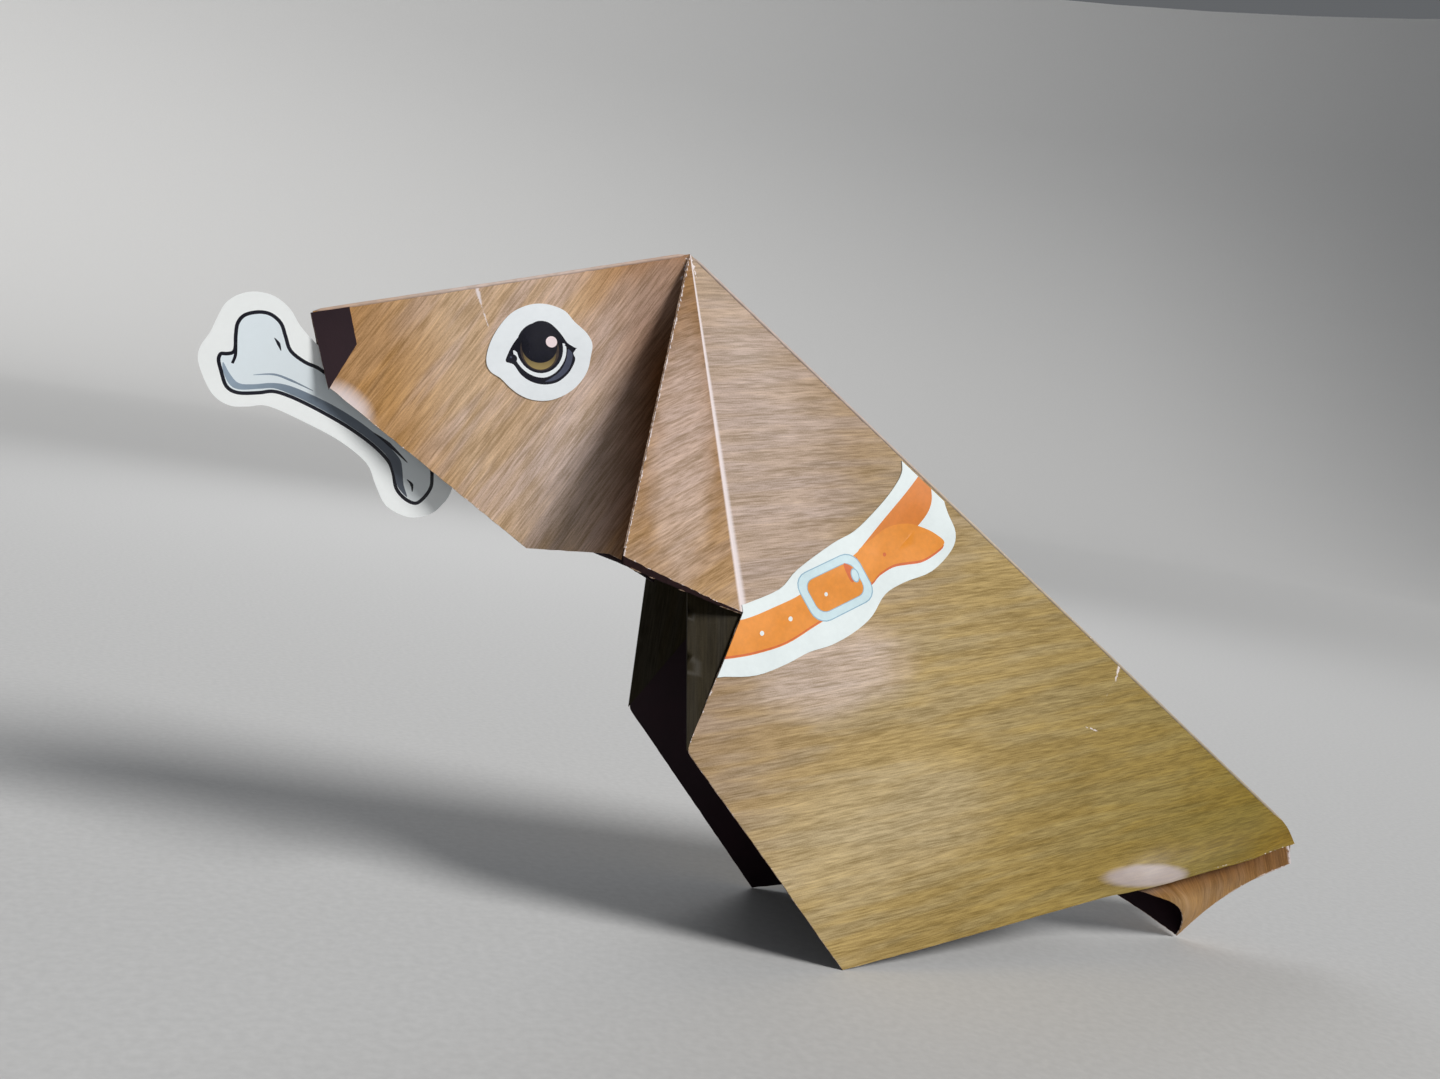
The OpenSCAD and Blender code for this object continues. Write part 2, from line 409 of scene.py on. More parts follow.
class Shader:
    """Builds one material, node by node. A value is a number, a colour or another node's output."""

    def __init__(self, name, roughness=0.5, specular=0.5, coat=0.0, coat_roughness=0.2):
        self.material = bpy.data.materials.new(name)
        self.material.use_nodes = True
        self.tree = self.material.node_tree
        self.surface = self.tree.nodes["Principled BSDF"]
        self.set(self.surface, "Roughness", roughness)
        self.set(self.surface, "Specular IOR Level", specular)
        self.set(self.surface, "Coat Weight", coat)
        self.set(self.surface, "Coat Roughness", coat_roughness)
        self.plan = self.node("ShaderNodeAttribute", attribute_name="plan").outputs["Vector"]

    def set(self, node, socket, value):
        target = node.inputs[socket]
        if isinstance(value, bpy.types.NodeSocket):
            self.tree.links.new(value, target)
        else:
            target.default_value = value

    def node(self, kind, inputs=(), **settings):
        made = self.tree.nodes.new(kind)
        for key, value in settings.items():
            setattr(made, key, value)
        for socket, value in dict(inputs).items():
            self.set(made, socket, value)
        return made

    def math(self, operation, a, b=0.0, c=0.0):
        return self.node("ShaderNodeMath", {0: a, 1: b, 2: c}, operation=operation).outputs[0]

    def times(self, a, b, plus=0.0):
        return self.math("MULTIPLY_ADD", a, b, plus)

    def dot(self, direction, shift=0.0):
        """How far the plan place lies along a direction, less shift."""
        made = self.node("ShaderNodeVectorMath", {0: self.plan, 1: (*direction, 0.0)},
                         operation="DOT_PRODUCT")
        return self.math("SUBTRACT", made.outputs["Value"], shift)

    def axes(self, origin, d):
        """How far the plan place lies from the origin along direction d, and across it."""
        turned = (-d[1], d[0])
        return [self.dot(axis, origin[0] * axis[0] + origin[1] * axis[1]) for axis in (d, turned)]

    def vector(self, x, y, z=0.0):
        return self.node("ShaderNodeCombineXYZ", {0: x, 1: y, 2: z}).outputs[0]

    def noise(self, scale, detail=2.0, rough=0.5, place=None):
        return self.node("ShaderNodeTexNoise",
                         {"Vector": self.plan if place is None else place, "Scale": scale,
                          "Detail": detail, "Roughness": rough}).outputs["Fac"]

    def range(self, value, low, high, out_low=0.0, out_high=1.0, kind="SMOOTHSTEP"):
        """A smooth step of the value from low to high."""
        return self.node("ShaderNodeMapRange",
                         {"Value": value, "From Min": low, "From Max": high,
                          "To Min": out_low, "To Max": out_high},
                         interpolation_type=kind).outputs["Result"]

    def ramp(self, value, stops):
        made = self.node("ShaderNodeValToRGB", {"Fac": value})
        elements = made.color_ramp.elements
        while len(elements) < len(stops):
            elements.new(1.0)
        for element, (position, tint) in zip(elements, stops):
            element.position = position
            element.color = tint
        return made.outputs["Color"]

    def mix(self, factor, a, b, blend="MIX"):
        made = self.node("ShaderNodeMix", data_type="RGBA", blend_type=blend)
        for socket, value in (("Factor", factor), (6, a), (7, b)):
            self.set(made, socket, value)
        return made.outputs[2]

    def finish(self, tint, height, strength, distance=0.00012, roughness=None):
        """Joins colour, bump and roughness to the surface, and gives the finished material."""
        self.set(self.surface, "Base Color", tint)
        if roughness is not None:
            self.set(self.surface, "Roughness", roughness)
        bump = self.node("ShaderNodeBump",
                         {"Height": height, "Strength": strength, "Distance": distance})
        self.set(self.surface, "Normal", bump.outputs["Normal"])
        return self.material


WORN = colour(238, 228, 230)
PRINT_SPAN = 130     # length of crease, in mm, that a print's colour ramp covers
HEADROOM = 1.45      # the region colours are printed this much brighter, under strokes that darken
STROKE_STOPS = [(0.14, (0.44, 0.42, 0.35, 1)), (0.36, (0.57, 0.56, 0.52, 1)),
                (0.50, (0.69, 0.69, 0.69, 1)), (0.66, (0.81, 0.82, 0.84, 1)),
                (0.88, (0.97, 0.99, 1.00, 1))]
# Painted shade: the colour that a shaded band of fur along a crease is multiplied by.
DEEP_SHADE = (0.34, 0.18, 0.06, 1.0)
GOLDEN = (1.0, 0.945, 0.76, 1.0)


def wear_mask(shader, wear, speckle):
    """White paper core showing through along worn folds and edges."""
    total = 0.0
    for a, b, start_width, end_width, density in wear:
        length = math.dist(a, b)
        along, across = shader.axes(a, unit2(a, b))
        width = shader.range(along, 0.0, length, start_width, end_width, "LINEAR")
        limit = shader.times(width, shader.range(speckle, 0.62 - density, 0.9 - density), 0.001)
        ratio = shader.math("DIVIDE", shader.math("ABSOLUTE", across), limit)
        line = shader.range(ratio, 1.5, 0.3)
        line = shader.times(line, shader.range(along, -0.6, 0.1))
        line = shader.times(line, shader.range(along, length + 0.6, length - 0.1))
        total = shader.math("MAXIMUM", total, line)
    return total


def oval_mask(shader, centre, reach, turn, strength, blur):
    """A soft-edged oval patch on a panel."""
    angle = math.radians(turn)
    away = shader.times(shader.noise(0.22), 0.8)
    for gap, size in zip(shader.axes(centre, (math.cos(angle), math.sin(angle))), reach):
        share = shader.math("DIVIDE", gap, size)
        away = shader.times(share, share, away)
    return shader.range(away, 1.4 + blur, 1.4 - blur, 0.0, strength)


def headroom(tint):
    return (*(min(1.0, c * HEADROOM) for c in colour(*tint)[:3]), 1.0)


def region_ramp(shader, where, tones):
    """The print's colour for a share of the print's span, from tones at places in mm."""
    return shader.ramp(where, [(place / PRINT_SPAN, headroom(tint)) for place, tint in tones])


def fur_print(name, hair, seed, tones, wear=(), patches=(), glare=(), shade=None, gloss=0.16):
    """Printed short fur: fine soft strokes along the hair's direction over wider tonal bands.
    tones are the print's colours at places along the panel; patches are ovals of painted sheen under
    the strokes and glare is painted highlight over them; shade is (from, to, reach) of a band of
    painted shade along a crease, standing for the shadow there."""
    shader = Shader(name, specular=gloss, coat=gloss * 0.15, coat_roughness=0.34)
    angle = math.radians(hair)
    along, across = shader.axes((0, 0), (math.cos(angle), math.sin(angle)))
    across = shader.times(shader.noise(0.03, 1.0), 0.5, across)

    def streaks(per_mm_along, per_mm_across, shift, detail):
        place = shader.vector(shader.times(along, per_mm_along),
                              shader.times(across, per_mm_across), seed + shift)
        return shader.noise(1.0, detail, place=place)

    tone = -0.81 / 1.75
    for layer, weight in ((streaks(0.24, 3.6, 0.0, 1.0), 0.50), (streaks(0.50, 8.0, 3.1, 1.0), 0.38),
                          (streaks(0.07, 0.85, 7.7, 2.0), 0.40), (shader.noise(5.5, 1.0), 0.22)):
        tone = shader.times(layer, weight, tone)
    strokes = shader.ramp(shader.times(tone, 1.75), STROKE_STOPS)
    where = shader.times(shader.dot((1.0, 0.0)), 1 / PRINT_SPAN, -0.05)
    where = shader.times(shader.noise(0.045, 2.0, 0.6), 0.06, where)
    base = region_ramp(shader, where, tones)
    golden = shader.range(streaks(0.06, 0.50, 12.3, 2.0), 0.38, 0.60)
    base = shader.mix(golden, base, GOLDEN, "MULTIPLY")
    # Painted sheen: pale ovals mixed into the print under the strokes.
    for centre, reach, turn, tint, strength, blur in patches:
        mask = oval_mask(shader, centre, reach, turn, strength, blur)
        base = shader.mix(mask, base, headroom(tint))
    fur = shader.mix(1.0, base, strokes, "MULTIPLY")
    # Painted shade: the fur is darkened in a band beside a crease, where shadow falls.
    if shade:
        a, b, reach = shade
        down, gap = shader.axes(a, unit2(a, b))
        near = shader.range(shader.math("ABSOLUTE", gap), reach, 0.0)
        near = shader.times(near, shader.range(down, 0.0, 0.4 * math.dist(a, b), 0.35, 1.0))
        fur = shader.mix(near, fur, DEEP_SHADE, "MULTIPLY")
    # Painted highlights laid over the fur.
    for centre, reach, turn, tint, strength, blur in glare:
        mask = oval_mask(shader, centre, reach, turn, strength, blur)
        fur = shader.mix(mask, fur, colour(*tint))
    speckle = shader.noise(1.7, 3.0, 0.65)
    if wear:
        fur = shader.mix(shader.times(wear_mask(shader, wear, speckle), 0.88), fur, WORN)
    height = shader.times(speckle, 0.6, shader.noise(3.2, 3.0, 0.6))
    polish = shader.range(shader.noise(0.07), 0.3, 0.7, 0.38, 0.50)
    return shader.finish(fur, height, 0.08, roughness=polish)


def paper_reverse():
    """The dark maroon back of the sheet."""
    shader = Shader("maroon_reverse", specular=0.22)
    clouds = shader.noise(0.12, 3.0, 0.6)
    base = shader.ramp(clouds, [(0.3, colour(32, 16, 24)), (0.7, colour(42, 23, 31))])
    fibre = shader.noise(2.6, 4.0, 0.7)
    flecks = shader.range(fibre, 0.70, 0.80, 0.0, 0.35)
    return shader.finish(shader.mix(flecks, base, colour(82, 58, 60)), fibre, 0.12,
                         roughness=shader.range(clouds, 0.2, 0.8, 0.48, 0.62))


def shaded_reverse():
    """The maroon reverse, made darker and duller than the sheet's reverse as painted shade deep under
    the ear.
    """
    shader = Shader("shaded_reverse", roughness=0.7, specular=0.08)
    fibre = shader.noise(1.2, 4.0, 0.65)
    tint = shader.ramp(fibre, [(0.3, colour(24, 12, 14)), (0.7, colour(38, 22, 24))])
    return shader.finish(tint, fibre, 0.1)


def cut_edge():
    """The sheet's own edge: white core with print dragged over it."""
    shader = Shader("paper_core", roughness=0.75, specular=0.3)
    grain = shader.noise(1.1, 3.0, 0.7)
    tint = shader.ramp(grain, [(0.42, colour(110, 78, 54)), (0.55, colour(186, 160, 140)),
                               (0.70, colour(236, 224, 220))])
    return shader.finish(tint, grain, 0.2, 0.0001)


def fold_print(name, seed, tones, white):
    """Fur print over a rounded fold, cracked and rubbed white in places."""
    shader = Shader(name, specular=0.45)

    def grain(along, across, shift, *settings):
        place = shader.vector(shader.dot((along, 0.0)), shader.dot((0.0, across)), seed + shift)
        return shader.noise(1.0, *settings, place=place)

    strokes = shader.ramp(grain(0.9, 2.0, 0, 3.0), STROKE_STOPS)
    base = region_ramp(shader, shader.dot((1 / PRINT_SPAN, 0.0)), tones)
    fur = shader.mix(0.3, shader.mix(1.0, base, strokes, "MULTIPLY"), WORN)
    cracks = grain(2.2, 3.0, 5, 4.0, 0.7)
    limit = shader.range(grain(0.11, 0.0, 9), 0.3, 0.7, 0.16, -0.06)
    worn = shader.math("SUBTRACT", cracks, limit)
    worn = shader.range(worn, 0.66 - 0.2 * white, 0.76 - 0.2 * white)
    return shader.finish(shader.mix(worn, fur, WORN), cracks, 0.25)


def print_ink(name, tint, spread=0.06, roughness=0.36):
    """A flat printed colour on glossy label paper, with the faint mottle of the print."""
    shader = Shader(name, coat=0.15, coat_roughness=0.16)
    base = colour(*tint)[:3]
    mottle = shader.noise(1.3, 3.0, 0.6)
    cloud = shader.noise(0.17)
    value = shader.times(cloud, 0.5, shader.times(mottle, 0.5))
    dark = (*(c * (1 - spread * 2) for c in base), 1.0)
    light = (*(min(1.0, c * (1 + spread)) for c in base), 1.0)
    return shader.finish(shader.ramp(value, [(0.35, dark), (0.65, light)]), mottle, 0.05, 0.0001,
                         shader.range(cloud, 0.3, 0.7, roughness - 0.05, roughness + 0.06))


def shaded_ink(name, stops, start, end):
    """A printed colour that changes from one place on the label to another."""
    shader = Shader(name, roughness=0.34, coat=0.25, coat_roughness=0.16)
    along, _ = shader.axes(start, unit2(start, end))
    mottle = shader.noise(1.1, 3.0, 0.6)
    value = shader.times(along, 1.0 / math.dist(start, end), -0.08)
    value = shader.times(mottle, 0.16, value)
    tint = shader.ramp(value, [(place, colour(*stop)) for place, stop in stops])
    return shader.finish(tint, mottle, 0.05, 0.0001)


maroon = paper_reverse()
core = cut_edge()
shaded_maroon = shaded_reverse()

# The print's colour at distances along each crease. The pale pinkish tones near the neck end of the
# flank and in the middle of the cheek are partly painted sheen, and the pleat and neck tones are
# darkened as painted shade.
FLANK_TONES = [(8, (163, 138, 117)), (30, (164, 141, 121)), (55, (172, 151, 110)),
               (85, (152, 132, 82)), (116, (127, 109, 46)), (130, (128, 103, 40))]
CHEEK_TONES = [(4, (172, 130, 92)), (14, (196, 168, 148)), (28, (196, 170, 152)),
               (36, (177, 138, 97)), (48, (168, 125, 78))]
EAR_TONES = [(4, (145, 113, 84)), (20, (152, 120, 92)), (45, (177, 149, 122))]
# Painted shade: the pleat's fur is printed dark for the ear's shadow on it.
PLEAT_SHADED_TONES = [(4, (76, 44, 22)), (40, (84, 50, 26))]
TAIL_TONES = [(0, (150, 114, 74)), (24, (158, 124, 82))]
# Painted shade: the neck flap's fur is printed near black for the shadow under the ear.
NECK_SHADED_TONES = [(0, (48, 43, 34)), (60, (42, 38, 29))]

# Where each panel's print is worn through: from, to, width at each end, share that is worn. The line
# from the top corner to the notch widens towards the notch, where it is partly wear and partly a
# painted highlight of the rounded fold catching light.
FLANK_WEAR = [((0, 0), NOTCH, 0.12, 0.62, 0.60), ((0, 0), TAIL_HIGH, 0.34, 0.36, 0.10),
              ((0.2, 0.3), (2.2, 1.6), 0.6, 0.2, 0.20),
              ((112.0, 17.2), TAIL_LOW, 0.12, 0.36, 0.06), (CHEST, FOOT, 0.22, 0.2, 0.06),
              (NOTCH, CHEST, 0.2, 0.35, 0.12), (FOOT, TAIL_ROOT, 0.16, 0.16, 0.02),
              ((85.1, -0.3), (85.6, 2.0), 0.32, 0.20, 0.30),
              ((85.6, 2.0), (85.2, 9.2), 0.13, 0.10, 0.06),
              ((84.9, 10.8), (86.3, 10.3), 0.20, 0.14, 0.22)]
EAR_LENGTH = math.hypot(*NOTCH)
ear_corner = ear.flat(ear_tip)
# The first line widens towards the notch: partly wear, partly a painted highlight of the rounded fold.
EAR_WEAR = [((0, 0), (EAR_LENGTH, 0), 0.12, 0.62, 0.60), ((0, 0), ear_corner, 0.30, 0.26, 0.22),
            ((EAR_LENGTH, 0), ear_corner, 0.20, 0.24, 0.10)]
CHEEK_WEAR = [((0.2, 0.4), (1.6, 2.6), 0.6, 0.2, 0.20),
              ((26.4, -0.2), (26.4, 1.6), 0.28, 0.20, 0.34),
              ((26.4, 1.6), (26.1, 4.6), 0.13, 0.10, 0.24),
              ((0, 0), NOSE_TOP, 0.28, 0.26, 0.10), (NOSE_LOW, JAW, 0.22, 0.16, 0.08),
              (JAW, JAW_STEP, 0.2, 0.2, 0.05)]

# Painted sheen and painted highlights: the patches are pale ovals under the strokes where soft light
# glares on the satin print, and the glare is laid over them; centre, reach, turn, colour, strength,
# blur
SHEEN_PALE = (204, 186, 180)
FLANK_SHEEN = [((22, 16), (20, 12), 40, SHEEN_PALE, 0.40, 1.0), ((46, 29), (11, 5), -45, SHEEN_PALE, 0.55, 0.9),
                 ((62, 42), (18, 7), -45, (186, 168, 134), 0.5, 1.0)]
FLANK_GLARE = [((104.3, 22.4), (7.2, 1.45), -35, (192, 181, 188), 0.64, 0.50)]
CHEEK_SHEEN = [((17, 22), (11, 7), 40, SHEEN_PALE, 0.6, 1.0), ((8, 8), (9, 5), 45, SHEEN_PALE, 0.5, 1.0)]
CHEEK_GLARE = [((44.4, 11.0), (3.3, 2.2), -48, (236, 224, 226), 0.9, 1.15)]
EAR_SHEEN = [((24, 8), (14, 6), 20, SHEEN_PALE, 0.5, 1.0)]

# ---- gentle bending of the panels

BLISTER = (104.8, 22.6)
BLISTER_TURN = math.radians(-40)


def flank_bend(p):
    """How far the flank lies off its flat plane; it keeps to it along both creases."""
    hold = smooth(9, p[1]) * smooth(9, line_gap(p, (0, 0), NOTCH))
    wave = (0.34 * math.sin(p[0] / 15.0 + p[1] / 24.0 + 0.4)
            + 0.20 * math.sin(p[1] / 8.5 - p[0] / 21.0))
    dx, dy = p[0] - BLISTER[0], p[1] - BLISTER[1]
    along = dx * math.cos(BLISTER_TURN) + dy * math.sin(BLISTER_TURN)
    across = dy * math.cos(BLISTER_TURN) - dx * math.sin(BLISTER_TURN)
    blister = 0.6 * math.exp(-(along / 7.0) ** 2 - (across / 2.2) ** 2)
    edge = line_gap(p, TAIL_ROOT, TAIL_LOW)
    lip = math.exp(-(edge / 3.5) ** 2) * smooth(9, p[0] - 99) * smooth(8, 128 - p[0])
    return hold * wave + blister + 1.2 * lip


def cheek_bend(p):
    hold = smooth(8, p[1]) * smooth(8, line_gap(p, (0, 0), PLEAT_ROOT))
    wave = 0.22 * math.sin(p[0] / 8.0 + 0.6) + 0.16 * math.sin(p[1] / 7.0)
    return hold * wave


def ear_bend(p):
    hold = smooth(6, p[1]) * smooth(6, line_gap(p, (0, 0), ear_corner))
    return 0.30 * hold * math.sin(p[0] / 9.0)


def bent(plane, bend):
    """What turns a place on a panel, and its lift off the panel, into a point of the bowed panel."""
    return lambda p, lift: plane.at(p, lift + bend(p))


flank_place = bent(flank, flank_bend)
cheek_place = bent(cheek, cheek_bend)
ear_place = bent(ear, ear_bend)

TAIL_START = 1.6     # the fold begins this far from the tail point
TAIL_DROP = 2.7      # how far below the tail point the tail's own fold starts


def tail_sag(u):
    """How far the tail's fold lies off the straight line between its two ends, in the middle
    plane: it starts low and bows up on its way to the floor."""
    u = min(max(u, 0.0), 1.0)
    rise = 1.2 * math.sin(math.pi * u) - TAIL_DROP * (1 - u) ** 1.5
    return Vector((tail_flap.down.x, 0, tail_flap.down.z)).normalized() * rise


def tail_fold_path(t):
    """The fold's own path: a short upright end below the tail point, then along the flaps."""
    turn = TAIL_START / TAIL_EDGE * 1.4
    if t > turn:
        return tail_sag(t)
    share = t / turn
    top = flank.at((TAIL_LOW[0] - 0.5, TAIL_LOW[1])) - TAIL
    top = Vector((top.x, 0, top.z)) / MM
    low = TAIL_DIR * (turn * TAIL_EDGE) + tail_sag(turn)
    return top.lerp(low, share) - TAIL_DIR * (t * TAIL_EDGE)


tail_corner = tail_flap.flat(flank.at(TAIL_ROOT))


def tail_place(curl_by):
    """The tail flap: it bows with its fold, is tucked behind the flank, and its free edge curls."""
    def place(p, lift):
        from_root = unit2((0, 0), tail_corner)
        below = p[0] * from_root[1] - p[1] * from_root[0]
        across = min(max(p[1] / tail_corner[1], 0.0), 1.0)
        u = min(max(p[0] / TAIL_EDGE, 0.0), 1.0)
        free = line_gap(p, (TAIL_EDGE, 0), tail_corner)
        curl = curl_by * math.exp(-(free / 4.5) ** 2) * math.sin(math.pi * min(across, 0.97)) ** 0.8
        bow = tail_sag(u) * (1 - across) ** 1.5
        out = 1.3 * curl + 0.5 * math.sin(math.pi * u) * across
        tuck = 1.8 * smooth(4.0, 4.0 - below) + 0.8 * max(-below, 0.0)
        pull = tail_flap.along * (-4.1 * curl)
        middle = tail_flap.at(p, out - tuck * smooth(12, math.hypot(*p))) + (bow + pull) * MM
        middle.y = min(middle.y, -(0.15 + 0.11 * max(p[1], 0.0)) * MM)
        return middle + (tail_flap.at(p, lift) - tail_flap.at(p, 0))
    return place


# ---- the sheet's panels

def panel(side, name, body, place, seed, loop, ragged, front, spacing=1.0, step=1.8, layers=(),
          back=maroon, rim=core, base=0.0):
    """A thin shell over the outline of one panel; it stands for the CAD node of the same name."""
    sheet = fill(resample(loop, spacing, ragged, seed), step, seed, layers)
    obj = shell(f"{side}_{name}_panel", side, place, sheet, PAPER, front, back, rim, base)
    finish_piece(obj, f"{side}_{name}", f"{side}_{body}")


def flank_panel(side, seed):
    loop = [(0, 0), NOTCH, CHEST, FOOT, TAIL_ROOT, TAIL_LOW, TAIL_HIGH]
    loop = round_corner(round_corner(loop, 6, 1.6), 2, 0.8)
    ragged = [0, 0.05, 0.03, 0.03, 0.03, 0.04] + [0.03] * (len(loop) - 7) + [0]
    fur = fur_print(f"{side}_flank_fur", 137.0, seed * 2.0, FLANK_TONES, FLANK_WEAR,
                    FLANK_SHEEN, FLANK_GLARE)
    panel(side, "flank", "flank", flank_place, seed, loop, ragged, [fur], spacing=1.1)


def neck_flap(side, seed):
    """The doubled sheet in front of the neck notch, with fur print on both faces. Its fur is printed
    near black as painted shade, for the shadow under the ear and head.
    """
    start = tuple(c * 0.36 for c in CHEST)
    loop = [start, CHEST, (33.8, 36.0), (31.5, 14.0)]
    hair = math.degrees(math.atan2(CHEST[1], CHEST[0]))
    fur = fur_print(f"{side}_neck_shaded_fur", hair, seed * 3.0, NECK_SHADED_TONES, gloss=0.06)
    panel(side, "neck_flap", "flank", lambda p, lift: flank.at(p, lift - 2.5 * PAPER), seed, loop,
          [0, 0.04, 0.04, 0], [fur], spacing=1.1, back=fur, rim=fur)


def ear_panel(side, seed):
    """The ear, with a sliver of the maroon layer inside it below its raw edge; the sliver is given the
    darker maroon of the shaded reverse, as painted shade.
    """
    raw_edge = unit2((EAR_LENGTH, 0), ear_corner)
    outwards = (raw_edge[1], -raw_edge[0])
    wide, narrow = 0.95, 0.45
    beyond = [(EAR_LENGTH - 0.2 + outwards[0] * narrow, outwards[1] * narrow),
              (ear_corner[0] + outwards[0] * wide, ear_corner[1] + outwards[1] * wide)]
    loop = [(0, 0), (EAR_LENGTH, 0), *beyond, ear_corner]
    sliver = resample([(EAR_LENGTH, 0), ear_corner, *reversed(beyond)], 0.9, [0.07, 0, 0, 0], seed)
    fur = fur_print(f"{side}_ear_fur", 76.0, seed * 5.0, EAR_TONES, EAR_WEAR, EAR_SHEEN)
    panel(side, "ear", "ear", ear_place, seed, loop, [0, 0, 0.05, 0, 0], [fur, shaded_maroon], step=1.6,
          layers=[sliver])


def ear_pleat_panel(side, seed):
    """The layer between cheek and ear; its print faces forwards and its reverse looks back. Its fur is
    printed dark as painted shade, and a strip along its lower edge, reaching a little past that edge on
    the left side, carries the darker maroon of the shaded reverse, also as painted shade.
    """
    root = pleat.flat(cheek.at(PLEAT_ROOT))
    lower = unit2((EAR_EDGE, 0), root)
    reach = 0.7 if side == "left" else 0.0
    beyond = (abs(lower[1]) * reach, -lower[0] * reach)
    loop = [(0, 0), (EAR_EDGE, 0), (EAR_EDGE + beyond[0], 0.3),
            (root[0] + beyond[0] + 0.01, root[1] + beyond[1] + 0.01), root]
    # Painted shade: the strip along the lower edge takes the darker maroon.
    dark = [(EAR_EDGE - 0.6, -1), (EAR_EDGE + 3, -1), (root[0] + 3, root[1] + 3),
            (root[0] - 0.6, root[1] + 1)]
    wear = [((0, 0), (EAR_EDGE, 0), 0.28, 0.3, 0.16)]
    fur = fur_print(f"{side}_pleat_shaded_fur", 35.0, seed * 7.0, PLEAT_SHADED_TONES, wear)
    panel(side, "ear_pleat", "ear_pleat", pleat.at, seed, loop, [0, 0, 0.04, 0, 0], [fur, shaded_maroon],
          layers=[dark])


def cheek_panel(side, seed):
    """The side of the head; the right one is cut a little shorter along the jaw."""
    short = 0.0 if side == "left" else 1.1
    loop = [(0, 0), PLEAT_ROOT, (JAW_STEP[0], JAW_STEP[1] - short),
            (JAW[0] - short * 0.3, JAW[1] - short), (NOSE_LOW[0], NOSE_LOW[1] - short * 0.5), NOSE_TOP]
    # Painted shadow: the last argument darkens the cheek in a band beside its crease with the ear
    # pleat, where the ear's shadow falls.
    fur = fur_print(f"{side}_cheek_fur", 41.0, seed * 11.0, CHEEK_TONES, CHEEK_WEAR,
                    CHEEK_SHEEN, CHEEK_GLARE, ((0, 0), PLEAT_ROOT, 12.0))
    panel(side, "cheek", "cheek", cheek_place, seed, loop, [0, 0.04, 0.04, 0.04, 0.02, 0], [fur])


def nose_tip(side, seed):
    loop = [(45.25, 0.15), (41.0, 0.15), (41.1, 4.4), (45.2, 8.9)]
    panel(side, "nose_tip", "cheek", cheek_place, seed, loop, [0.02, 0.03, 0.03, 0.02], [maroon],
          spacing=0.6, step=1.0, base=PAPER + AIR)


def tail_flap_panel(side, seed):
    behind = unit2((0, 0), tail_corner)
    tucked = (tail_corner[0] - behind[1] * 1.6, tail_corner[1] + behind[0] * 1.6)
    upper = (1.0, 3.1)
    loop = [(TAIL_START, 0), (TAIL_EDGE, 0), tail_corner, tucked, upper]
    wear = [((0, 0), (TAIL_EDGE, 0), 0.22, 0.16, 0.10), ((TAIL_START, -0.5), upper, 0.42, 0.42, 0.40)]
    # Painted shade: the last argument darkens the flap's top along its root, where it lies in the
    # shadow under the flank's edge.
    fur = fur_print(f"{side}_tail_fur", 98.0, seed * 13.0, TAIL_TONES, wear,
                    shade=((0, 0), tail_corner, 6.0))
    curl_by = 1.0 if side == "left" else 0.12
    panel(side, "tail_flap", "tail_flap", tail_place(curl_by), seed, loop, [0, 0.03, 0.02, 0, 0], [fur],
          spacing=0.7, step=1.0)


# ---- labels and the bone card

INK = (14, 14, 30)
LABEL_LIFT = PAPER / 2 + AIR + LABEL / 2


def art_sheet(outline, spacing, seed, art, clip=None):
    """A die-cut outline, filled with triangles that know their ink. art is a list of (number of
    its ink, outline), later ones on top; ink 0 is the ground."""
    flat, tris, top = fill(outline, spacing, seed, [loop for _, loop in art], clip)
    return flat, tris, np.array([0] + [ink for ink, _ in art])[top]


def label(side, name, body, place, sheet, inks):
    obj = shell(f"{side}_{name}_label", side, place, sheet, LABEL, inks, inks[0], inks[0],
                base=LABEL_LIFT)
    finish_piece(obj, f"{side}_{name}", f"{side}_{body}")


